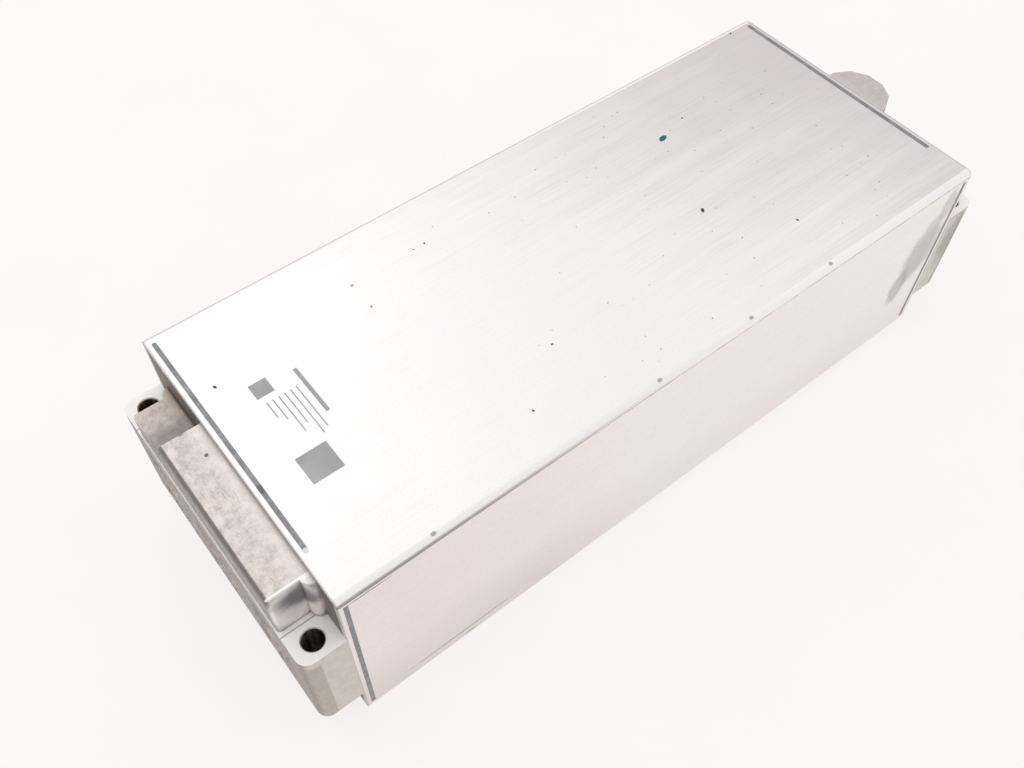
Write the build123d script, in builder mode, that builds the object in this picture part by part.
"""Battery module: twelve pouch cells in a welded aluminium tube with a cast plate at each end.

Frame: millimetres, origin at the bottom centre, +X towards the terminal end, +Z up.
"""
from build123d import *

import os

# ---- Driving dimensions -------------------------------------------------------------
TUBE_LENGTH = 357
TUBE_WIDTH = 150
TUBE_HEIGHT = 110
TUBE_RADIUS = 3
WALL = 2.5
HALF = TUBE_LENGTH / 2
INNER_WIDTH = TUBE_WIDTH - 2 * WALL
INNER_HEIGHT = TUBE_HEIGHT - 2 * WALL
MID_HEIGHT = TUBE_HEIGHT / 2

# Welds: the bead lies in a shallow groove, a little inboard of the tube's rim.
WELD_INSET = 3.2
WELD_WIDTH = 2
WELD_DEPTH = 0.4
WELD_PROUD = 0.15
TOP_WELD_LENGTH = 121
TOP_WELD_Y = 9.5
SIDE_WELD_LENGTH = 100

# End plates: a web inside the tube, a deep ribbed bar outside it, a bolt boss at each corner.
PLATE_DEPTH = 19.5
BLOCK_SETBACK = 0.8
WEB = 4
SPIGOT_DEPTH = 7
SPIGOT_RIM = 4
SPIGOT_RADIUS = 3
BAR_BOTTOM = 20
LUG_TOP = 78.5
LUG_RADIUS = 5.5
BLOCK_HALF = 57
BLOCK_FLARE = 4.5
PLATFORM_TOP = TUBE_HEIGHT - WALL
STEP_FLOOR = 91
STEP_START = 24.5
STEP_FOOT = 32
EDGE_RADIUS = 1.8
BOLT_X = HALF + 9.9
BOLT_Y = 66.8
BOLT_RADIUS = 4.5
BOLT_CHAMFER = 0.6

# Pockets between the ribs of the outer face.
POCKET_WIDTH = 32
POCKET_HEIGHT = 20
POCKET_PITCH_Y = 44
POCKET_PITCH_Z = 23.5
POCKET_COLUMNS = 3
POCKET_LOW_Z = 31.5
POCKET_DEPTH = 12
POCKET_RADIUS = 3
POCKET_DRAFT = 2

# Terminal end.
TERMINAL_BLOCK_TOP = 92
TONGUE_RADIUS = 17.5
TONGUE_SIDES = 12
TONGUE_TOP = 107
WINDOW_Y = 35
WINDOW_WIDTH = 34
WINDOW_BOTTOM = 52
WINDOW_TOP = 81
SOCKET_WIDTH = 24
SOCKET_BOTTOM = 72
SOCKET_TOP = 85
TERMINAL_HOLE_Z = 66
INSERT_RADIUS = 5
INSERT_BORE = 2.5
INSERT_LENGTH = 12

# Cell stack.
CELL_COUNT = 12
PAD = 3.1
PAD_MARGIN = 0.8
CELL_THICKNESS = (INNER_WIDTH - 3 * PAD) / CELL_COUNT
CELL_BOTTOM = 4.5
CELL_TOP = 103.5
CELL_HALF = 152
CELL_CHAMFER = 1.5
SEAL_HALF = 158
SEAL_HEIGHT = 90
SEAL_THICKNESS = 1
TAB_THICKNESS = 0.6
TAB_BOTTOM = 22
TAB_TOP = 67

# Parts between the cells and the end plates, as distances from the middle of the module.
FRAME_BACK = SEAL_HALF
FRAME_FACE = 166
FRAME_RIM = HALF - SPIGOT_DEPTH - 1.5
COVER_OUT = HALF - SPIGOT_DEPTH
BUSBAR = 2.5
BUSBAR_FACE = FRAME_FACE + BUSBAR
FRAME_TOP = 106.5
BUSBAR_BOTTOM = 19
BUSBAR_TOP = 70
LEG_TOP = 80
LEG_WIDTH = 22
BOARD = 1.6
FLEX = 0.4
FLEX_WIDTH = 24
SHEET = 0.5

os.makedirs("parts", exist_ok=True)


def save(part, name):
    """Labels a finished piece and writes it to its own file."""
    part.label = name
    export_step(part, f"parts/{name}.step")


def end_plane(distance, side):
    """YZ plane at a distance from the middle that looks outward: side is -1 or +1."""
    return Plane(origin=(side * distance, 0, 0), x_dir=(0, side, 0), z_dir=(side, 0, 0))


def cell_y(index):
    """Middle of cell 0 to 11 across the stack, with a foam pad at each side and in the middle."""
    pads = 1 if index < CELL_COUNT / 2 else 2
    return -INNER_WIDTH / 2 + pads * PAD + (index + 0.5) * CELL_THICKNESS


# ---- Housing tube -------------------------------------------------------------------
TOP_FACE = Plane.XY.offset(TUBE_HEIGHT)
BOTTOM_FACE = Plane.XY
LEFT_FACE = Plane(origin=(0, TUBE_WIDTH / 2, MID_HEIGHT), x_dir=(-1, 0, 0), z_dir=(0, 1, 0))
RIGHT_FACE = Plane(origin=(0, -TUBE_WIDTH / 2, MID_HEIGHT), x_dir=(1, 0, 0), z_dir=(0, -1, 0))


def weld_outline(plane, side):
    """Outline of one bead on a face of the tube, at the rim on that side, round-ended on top."""
    flat = plane in (TOP_FACE, BOTTOM_FACE)
    length = TOP_WELD_LENGTH if flat else SIDE_WELD_LENGTH
    shift = TOP_WELD_Y if flat else 0
    along = side * plane.x_dir.X * (HALF - WELD_INSET)
    with BuildSketch(plane) as outline:
        with Locations((along, shift)):
            if plane == TOP_FACE:
                SlotOverall(length, WELD_WIDTH, rotation=90)
            else:
                Rectangle(WELD_WIDTH, length)
    return outline.sketch


with BuildPart() as housing_tube:
    with BuildSketch(Plane.YZ.offset(-HALF)):
        with Locations((0, MID_HEIGHT)):
            RectangleRounded(TUBE_WIDTH, TUBE_HEIGHT, TUBE_RADIUS)
            RectangleRounded(INNER_WIDTH, INNER_HEIGHT, TUBE_RADIUS - WALL, mode=Mode.SUBTRACT)
    extrude(amount=TUBE_LENGTH)
    for end in (-1, 1):
        for face in (TOP_FACE, LEFT_FACE, RIGHT_FACE):
            extrude(weld_outline(face, end), amount=-WELD_DEPTH, mode=Mode.SUBTRACT)
        extrude(weld_outline(BOTTOM_FACE, end), amount=WELD_DEPTH, mode=Mode.SUBTRACT)
save(housing_tube.part, "housing_tube")


def weld_seams(side):
    """The four beads round one end: proud on the top and sides, flush under the floor."""
    with BuildPart() as seams:
        for face in (TOP_FACE, LEFT_FACE, RIGHT_FACE):
            outline = weld_outline(face, side)
            extrude(outline, amount=WELD_PROUD)
            extrude(outline, amount=-WELD_DEPTH)
        extrude(weld_outline(BOTTOM_FACE, side), amount=WELD_DEPTH)
    return seams.part


save(weld_seams(-1), "weld_seams_closed_end")
save(weld_seams(1), "weld_seams_terminal_end")


# ---- Cast end plates ----------------------------------------------------------------
def spigot_and_bosses(side, raised_top):
    """What both end plates share: web and spigot, ribbed bar, raised block and bolt bosses."""
    face = side * HALF
    outer = side * (HALF + PLATE_DEPTH)
    block_outer = side * (HALF + PLATE_DEPTH - BLOCK_SETBACK)
    with BuildPart() as plate:
        with BuildSketch(end_plane(HALF, side)):
            with Locations((0, MID_HEIGHT)):
                RectangleRounded(INNER_WIDTH, INNER_HEIGHT, SPIGOT_RADIUS)
        extrude(amount=-SPIGOT_DEPTH)
        with BuildSketch(end_plane(HALF - SPIGOT_DEPTH, side)):
            with Locations((0, MID_HEIGHT)):
                Rectangle(INNER_WIDTH - 2 * SPIGOT_RIM, INNER_HEIGHT - 2 * SPIGOT_RIM)
        extrude(amount=SPIGOT_DEPTH - WEB, mode=Mode.SUBTRACT)

        with BuildSketch(Plane.XY.offset(BAR_BOTTOM)) as bar:
            with Locations(((face + outer) / 2, 0)):
                Rectangle(PLATE_DEPTH, TUBE_WIDTH)
            corners = bar.vertices().group_by(Axis.X)[0 if side < 0 else -1]
            fillet(corners, LUG_RADIUS)
        extrude(amount=LUG_TOP - BAR_BOTTOM)

        # The raised block flares into the web, so a cutter can pass round each bolt boss.
        with BuildSketch(Plane.XY.offset(LUG_TOP)):
            with BuildLine():
                flare_x = face + side * BLOCK_FLARE
                flare_y = BLOCK_HALF + BLOCK_FLARE
                Line((face, -flare_y), (face, flare_y))
                RadiusArc((face, flare_y), (flare_x, BLOCK_HALF), side * BLOCK_FLARE)
                Polyline((flare_x, BLOCK_HALF), (block_outer, BLOCK_HALF),
                         (block_outer, -BLOCK_HALF), (flare_x, -BLOCK_HALF))
                RadiusArc((flare_x, -BLOCK_HALF), (face, -flare_y), side * BLOCK_FLARE)
            make_face()
        extrude(amount=raised_top - LUG_TOP)
        block_front = plate.edges().filter_by_position(
            Axis.X, block_outer - 0.01, block_outer + 0.01)
        fillet(block_front.filter_by_position(Axis.Z, LUG_TOP + 0.1, raised_top + 0.1), EDGE_RADIUS)

        with Locations(*[(side * BOLT_X, y, LUG_TOP) for y in (-BOLT_Y, BOLT_Y)]):
            Hole(BOLT_RADIUS, depth=LUG_TOP - BAR_BOTTOM)
        rims = plate.edges().filter_by(GeomType.CIRCLE).filter_by(lambda e: e.radius == BOLT_RADIUS)
        chamfer(rims, BOLT_CHAMFER)
    return plate.part


def rib_pockets(side, rows):
    """Solids that hollow the outer face of a plate into a waffle of ribs."""
    middle = POCKET_LOW_Z + (rows - 1) * POCKET_PITCH_Z / 2
    with BuildPart() as pockets:
        with BuildSketch(end_plane(HALF + PLATE_DEPTH, side)):
            with Locations((0, middle)):
                with GridLocations(POCKET_PITCH_Y, POCKET_PITCH_Z, POCKET_COLUMNS, rows):
                    RectangleRounded(POCKET_WIDTH, POCKET_HEIGHT, POCKET_RADIUS)
        extrude(amount=-POCKET_DEPTH, taper=POCKET_DRAFT)
    return pockets.part


closed_blank = spigot_and_bosses(-1, PLATFORM_TOP)
with BuildPart() as end_plate_closed:
    add(closed_blank)
    add(rib_pockets(-1, 2), mode=Mode.SUBTRACT)
    # The step beside the platform, with a swept foot.
    with BuildSketch(Plane.YZ.offset(-HALF)):
        with BuildLine():
            Line((STEP_START, PLATFORM_TOP + 1), (STEP_START, PLATFORM_TOP - 4))
            foot_start = (STEP_START, PLATFORM_TOP - 4)
            TangentArc(foot_start, (STEP_FOOT + 4, STEP_FLOOR), tangent=(0.15, -1))
            Polyline((STEP_FOOT + 4, STEP_FLOOR), (TUBE_WIDTH / 2, STEP_FLOOR),
                     (TUBE_WIDTH / 2, PLATFORM_TOP + 1), (STEP_START, PLATFORM_TOP + 1))
        make_face()
    extrude(amount=-PLATE_DEPTH, mode=Mode.SUBTRACT)
save(end_plate_closed.part, "end_plate_closed")

terminal_blank = spigot_and_bosses(1, TERMINAL_BLOCK_TOP)
with BuildPart() as end_plate_terminal:
    add(terminal_blank)
    add(rib_pockets(1, 1), mode=Mode.SUBTRACT)
    with BuildSketch(Plane.XY.offset(TERMINAL_BLOCK_TOP)):
        with Locations((HALF + PLATE_DEPTH - TONGUE_RADIUS, 0)):
            RegularPolygon(TONGUE_RADIUS, TONGUE_SIDES, major_radius=False, rotation=180 / TONGUE_SIDES)
        with Locations((HALF - TONGUE_RADIUS, 0)):
            Rectangle(2 * TONGUE_RADIUS, 3 * TONGUE_RADIUS, mode=Mode.SUBTRACT)
    extrude(amount=TONGUE_TOP - TERMINAL_BLOCK_TOP)
    # Windows for the two terminals and the sense socket, right through the plate.
    with BuildSketch(end_plane(HALF + PLATE_DEPTH, 1)):
        window_height = WINDOW_TOP - WINDOW_BOTTOM
        with Locations(*[(y, (WINDOW_TOP + WINDOW_BOTTOM) / 2) for y in (-WINDOW_Y, WINDOW_Y)]):
            Rectangle(WINDOW_WIDTH, window_height)
        with Locations((0, (SOCKET_TOP + SOCKET_BOTTOM) / 2)):
            Rectangle(SOCKET_WIDTH, SOCKET_TOP - SOCKET_BOTTOM)
    extrude(amount=-(PLATE_DEPTH + SPIGOT_DEPTH), mode=Mode.SUBTRACT)
save(end_plate_terminal.part, "end_plate_terminal")


# ---- Cell stack ---------------------------------------------------------------------
def pouch_cell(index):
    """One pouch on its long edge: a chamfered body, a thin sealed end and a tab at each end."""
    middle = cell_y(index)
    with BuildPart() as cell:
        with BuildSketch(Plane.XZ.offset(-middle)):
            with Locations((0, (CELL_TOP + CELL_BOTTOM) / 2)):
                Rectangle(2 * CELL_HALF, CELL_TOP - CELL_BOTTOM)
        extrude(amount=CELL_THICKNESS / 2, both=True)
        chamfer(cell.faces().sort_by(Axis.X)[0].edges().filter_by(Axis.Z), CELL_CHAMFER)
        chamfer(cell.faces().sort_by(Axis.X)[-1].edges().filter_by(Axis.Z), CELL_CHAMFER)
        with BuildSketch(Plane.XZ.offset(-middle)):
            with Locations((0, (CELL_TOP + CELL_BOTTOM) / 2)):
                Rectangle(2 * SEAL_HALF, SEAL_HEIGHT)
        extrude(amount=SEAL_THICKNESS / 2, both=True)
        with BuildSketch(Plane.XZ.offset(-middle)):
            with Locations((0, (TAB_TOP + TAB_BOTTOM) / 2)):
                Rectangle(2 * BUSBAR_FACE, TAB_TOP - TAB_BOTTOM)
        extrude(amount=TAB_THICKNESS / 2, both=True)
    return cell.part


for number in range(CELL_COUNT):
    save(pouch_cell(number), f"pouch_cell_{number + 1:02d}")

pad_places = {
    "foam_pad_left": INNER_WIDTH / 2 - PAD / 2,
    "foam_pad_middle": 0,
    "foam_pad_right": -INNER_WIDTH / 2 + PAD / 2,
}
for pad_name, pad_y in pad_places.items():
    with BuildPart() as foam_pad:
        with BuildSketch(Plane.XZ.offset(-pad_y)):
            with Locations((0, (CELL_TOP + CELL_BOTTOM) / 2)):
                Rectangle(2 * CELL_HALF, CELL_TOP - CELL_BOTTOM - 2 * PAD_MARGIN)
        extrude(amount=PAD / 2, both=True)
    save(foam_pad.part, pad_name)

with BuildPart() as thermal_gap_filler:
    with BuildSketch(Plane.XY.offset(WALL)):
        Rectangle(2 * CELL_HALF, INNER_WIDTH - 2 * PAD)
    extrude(amount=CELL_BOTTOM - WALL)
save(thermal_gap_filler.part, "thermal_gap_filler")

with BuildPart() as insulation_sheet:
    with BuildSketch(Plane.XY.offset(TUBE_HEIGHT - WALL - SHEET)):
        Rectangle(2 * FRAME_BACK, INNER_WIDTH - 2 * PAD)
    extrude(amount=SHEET)
save(insulation_sheet.part, "insulation_sheet")


# ---- Busbar frames, busbars and covers ----------------------------------------------
def busbar_frame(side):
    """Moulded frame at one end of the stack: slotted plate, rim and a notch for the flex."""
    middle = (FRAME_TOP + WALL) / 2
    height = FRAME_TOP - WALL
    with BuildPart() as frame:
        with BuildSketch(Plane.YZ.offset(side * FRAME_BACK)):
            with Locations((0, middle)):
                RectangleRounded(INNER_WIDTH, height, TUBE_RADIUS - WALL)
        extrude(amount=side * (FRAME_RIM - FRAME_BACK))
        with BuildSketch(Plane.YZ.offset(side * FRAME_FACE)):
            with Locations((0, middle)):
                Rectangle(INNER_WIDTH - 2 * WALL, height - 2 * WALL)
        extrude(amount=side * (FRAME_RIM - FRAME_FACE), mode=Mode.SUBTRACT)
        with BuildSketch(Plane.YZ.offset(side * FRAME_BACK)):
            for index in range(CELL_COUNT):
                with Locations((cell_y(index), (TAB_TOP + TAB_BOTTOM) / 2)):
                    Rectangle(TAB_THICKNESS, TAB_TOP - TAB_BOTTOM)
        extrude(amount=side * (FRAME_FACE - FRAME_BACK), mode=Mode.SUBTRACT)
        with BuildSketch(Plane.YZ.offset(side * FRAME_BACK)):
            with Locations((0, CELL_TOP + INNER_HEIGHT / 2)):
                Rectangle(FLEX_WIDTH, INNER_HEIGHT)
        extrude(amount=side * (FRAME_RIM - FRAME_BACK), mode=Mode.SUBTRACT)
    return frame.part


save(busbar_frame(-1), "busbar_frame_closed_end")
save(busbar_frame(1), "busbar_frame_terminal_end")


def busbar_plate(side, first, last):
    """Flat bar over the tabs of cells first to last, slotted so each tab can be welded in."""
    edge = CELL_THICKNESS / 2 - 1
    low = cell_y(first) - edge
    high = cell_y(last) + edge
    with BuildPart() as bar:
        with BuildSketch(Plane.YZ.offset(side * FRAME_FACE)):
            with Locations(((low + high) / 2, (BUSBAR_TOP + BUSBAR_BOTTOM) / 2)):
                Rectangle(high - low, BUSBAR_TOP - BUSBAR_BOTTOM)
            for index in range(first, last + 1):
                with Locations((cell_y(index), (TAB_TOP + TAB_BOTTOM) / 2)):
                    Rectangle(TAB_THICKNESS, TAB_TOP - TAB_BOTTOM, mode=Mode.SUBTRACT)
        extrude(amount=side * BUSBAR)
    return bar.part


# Two cells in parallel make a group, and each link joins one group to the next in series.
links = {
    "busbar_link_1_2": (-1, 0, 3),
    "busbar_link_2_3": (1, 2, 5),
    "busbar_link_3_4": (-1, 4, 7),
    "busbar_link_4_5": (1, 6, 9),
    "busbar_link_5_6": (-1, 8, 11),
}
for link_name, (link_end, first_cell, last_cell) in links.items():
    save(busbar_plate(link_end, first_cell, last_cell), link_name)


TERMINAL_FACE = HALF + PLATE_DEPTH
INSULATOR_FACE = TERMINAL_FACE - BUSBAR


def terminal_busbar(side_y, first, last):
    """Collects one end group and carries it through the plate to the bolted terminal face."""
    edge = CELL_THICKNESS / 2 - 1
    group_outer = side_y * (abs(cell_y(first if side_y < 0 else last)) + edge)
    arm_inner = side_y * (WINDOW_Y - LEG_WIDTH / 2)
    with BuildPart() as bar:
        add(busbar_plate(1, first, last))
        with BuildSketch(Plane.YZ.offset(FRAME_FACE)):
            with Locations(((group_outer + arm_inner) / 2, (BUSBAR_TOP + 2 + LEG_TOP) / 2)):
                Rectangle(abs(group_outer - arm_inner), LEG_TOP - BUSBAR_TOP - 2)
            group_middle = (cell_y(first) + cell_y(last)) / 2
            with Locations((group_middle, (TAB_TOP + LEG_TOP) / 2 + 1)):
                Rectangle(CELL_THICKNESS, LEG_TOP - TAB_TOP - 2)
        extrude(amount=BUSBAR)
        with BuildSketch(Plane.XZ.offset(-side_y * WINDOW_Y)):
            with BuildLine():
                FilletPolyline((FRAME_FACE + BUSBAR / 2, LEG_TOP - BUSBAR / 2),
                               (TERMINAL_FACE - BUSBAR / 2, LEG_TOP - BUSBAR / 2),
                               (TERMINAL_FACE - BUSBAR / 2, TERMINAL_HOLE_Z - 9), radius=2)
                offset(amount=BUSBAR / 2, side=Side.BOTH)
            make_face()
        extrude(amount=LEG_WIDTH / 2, both=True)
        with Locations(Plane(origin=(TERMINAL_FACE, side_y * WINDOW_Y, TERMINAL_HOLE_Z), z_dir=(1, 0, 0))):
            Hole(INSERT_BORE + 0.7, depth=BUSBAR)
    return bar.part


def terminal_insulator(side_y):
    """Moulded block in the plate's window that keeps the terminal clear of the casting."""
    with BuildPart() as block:
        with BuildSketch(Plane.YZ.offset(COVER_OUT)):
            with Locations((side_y * WINDOW_Y, (WINDOW_BOTTOM + WINDOW_TOP) / 2)):
                Rectangle(WINDOW_WIDTH, WINDOW_TOP - WINDOW_BOTTOM)
        extrude(amount=INSULATOR_FACE - COVER_OUT)
        with BuildSketch(Plane.YZ.offset(COVER_OUT)):
            with Locations((side_y * WINDOW_Y, LEG_TOP - BUSBAR / 2)):
                Rectangle(LEG_WIDTH, BUSBAR)
        extrude(amount=INSULATOR_FACE - COVER_OUT, mode=Mode.SUBTRACT)
        under_bend = block.edges().filter_by(Axis.Y).filter_by_position(
            Axis.Z, LEG_TOP - BUSBAR - 0.01, LEG_TOP - BUSBAR + 0.01)
        chamfer(under_bend.sort_by(Axis.X)[-1], 1)
        with Locations(Plane(origin=(INSULATOR_FACE, side_y * WINDOW_Y, TERMINAL_HOLE_Z), z_dir=(1, 0, 0))):
            Hole(INSERT_RADIUS, depth=INSERT_LENGTH)
    return block.part


def terminal_insert(side_y):
    """Threaded insert behind the terminal face, knurled outside and left smooth inside."""
    base = Plane(origin=(INSULATOR_FACE, side_y * WINDOW_Y, TERMINAL_HOLE_Z), z_dir=(1, 0, 0))
    with BuildPart() as insert:
        with BuildSketch(base):
            Circle(INSERT_RADIUS)
            Circle(INSERT_BORE, mode=Mode.SUBTRACT)
        extrude(amount=-INSERT_LENGTH)
    return insert.part


save(terminal_busbar(-1, 0, 1), "terminal_busbar_negative")
save(terminal_busbar(1, CELL_COUNT - 2, CELL_COUNT - 1), "terminal_busbar_positive")
save(terminal_insulator(-1), "terminal_insulator_negative")
save(terminal_insulator(1), "terminal_insulator_positive")
save(terminal_insert(-1), "terminal_insert_negative")
save(terminal_insert(1), "terminal_insert_positive")


def end_cover(side, openings):
    """Thin insulating cover between a busbar frame and its end plate."""
    with BuildPart() as cover:
        with BuildSketch(Plane.YZ.offset(side * FRAME_RIM)):
            with Locations((0, (FRAME_TOP + WALL) / 2)):
                RectangleRounded(INNER_WIDTH, FRAME_TOP - WALL, TUBE_RADIUS - WALL)
            for width, low, high, middle_y in openings:
                with Locations((middle_y, (low + high) / 2)):
                    Rectangle(width, high - low, mode=Mode.SUBTRACT)
        extrude(amount=side * (COVER_OUT - FRAME_RIM))
    return cover.part


leg_openings = [(LEG_WIDTH, LEG_TOP - BUSBAR, LEG_TOP, y) for y in (-WINDOW_Y, WINDOW_Y)]
socket_opening = (SOCKET_WIDTH - 4, SOCKET_BOTTOM + 2, SOCKET_TOP - 2, 0)
save(end_cover(-1, []), "end_cover_closed_end")
save(end_cover(1, leg_openings + [socket_opening]), "end_cover_terminal_end")


# ---- Voltage and temperature sensing ------------------------------------------------
def sense_board(side, width):
    """Small board on the frame, above the busbars, where the flex comes down."""
    with BuildPart() as board:
        with BuildSketch(Plane.YZ.offset(side * FRAME_FACE)):
            with Locations((0, (BUSBAR_TOP + 2 + CELL_TOP - 2) / 2)):
                Rectangle(width, CELL_TOP - BUSBAR_TOP - 4)
        extrude(amount=side * BOARD)
    return board.part


save(sense_board(-1, 60), "sense_board_closed_end")
save(sense_board(1, 40), "sense_board_terminal_end")

with BuildPart() as sense_flex:
    with BuildSketch(Plane.XZ):
        with BuildLine():
            drop_x = FRAME_FACE + BOARD
            Polyline((-drop_x, CELL_TOP - 12), (-drop_x, CELL_TOP), (drop_x, CELL_TOP),
                     (drop_x, CELL_TOP - 12), (drop_x + FLEX, CELL_TOP - 12),
                     (drop_x + FLEX, CELL_TOP + FLEX), (-drop_x - FLEX, CELL_TOP + FLEX),
                     (-drop_x - FLEX, CELL_TOP - 12), (-drop_x, CELL_TOP - 12))
        make_face()
    extrude(amount=FLEX_WIDTH / 2 - 1, both=True)
save(sense_flex.part, "sense_flex")

for sensor_name, sensor_x in {"thermistor_closed_end": -90, "thermistor_terminal_end": 90}.items():
    with BuildPart() as thermistor:
        with BuildSketch(Plane.XY.offset(CELL_TOP + FLEX)):
            with Locations((sensor_x, 0)):
                Rectangle(6, 4)
        extrude(amount=1.8)
    save(thermistor.part, sensor_name)

with BuildPart() as sense_socket:
    socket_middle = (SOCKET_TOP + SOCKET_BOTTOM) / 2
    with BuildSketch(Plane.YZ.offset(COVER_OUT)):
        with Locations((0, socket_middle)):
            Rectangle(SOCKET_WIDTH, SOCKET_TOP - SOCKET_BOTTOM)
    extrude(amount=TERMINAL_FACE - COVER_OUT)
    with BuildSketch(Plane.YZ.offset(TERMINAL_FACE - 10)):
        with Locations((0, socket_middle)):
            Rectangle(SOCKET_WIDTH - 3, SOCKET_TOP - SOCKET_BOTTOM - 3)
    extrude(amount=10, mode=Mode.SUBTRACT)
    with BuildSketch(Plane.YZ.offset(FRAME_FACE + BOARD)):
        with Locations((0, socket_middle)):
            Rectangle(SOCKET_WIDTH - 4, SOCKET_TOP - SOCKET_BOTTOM - 4)
    extrude(amount=COVER_OUT - FRAME_FACE - BOARD)
save(sense_socket.part, "sense_socket")

with BuildPart() as sense_pins:
    with BuildSketch(Plane.YZ.offset(TERMINAL_FACE - 10)):
        with Locations((0, (SOCKET_TOP + SOCKET_BOTTOM) / 2)):
            with GridLocations(2.5, 3, 7, 2):
                Rectangle(0.8, 0.8)
    extrude(amount=7)
save(sense_pins.part, "sense_pins")
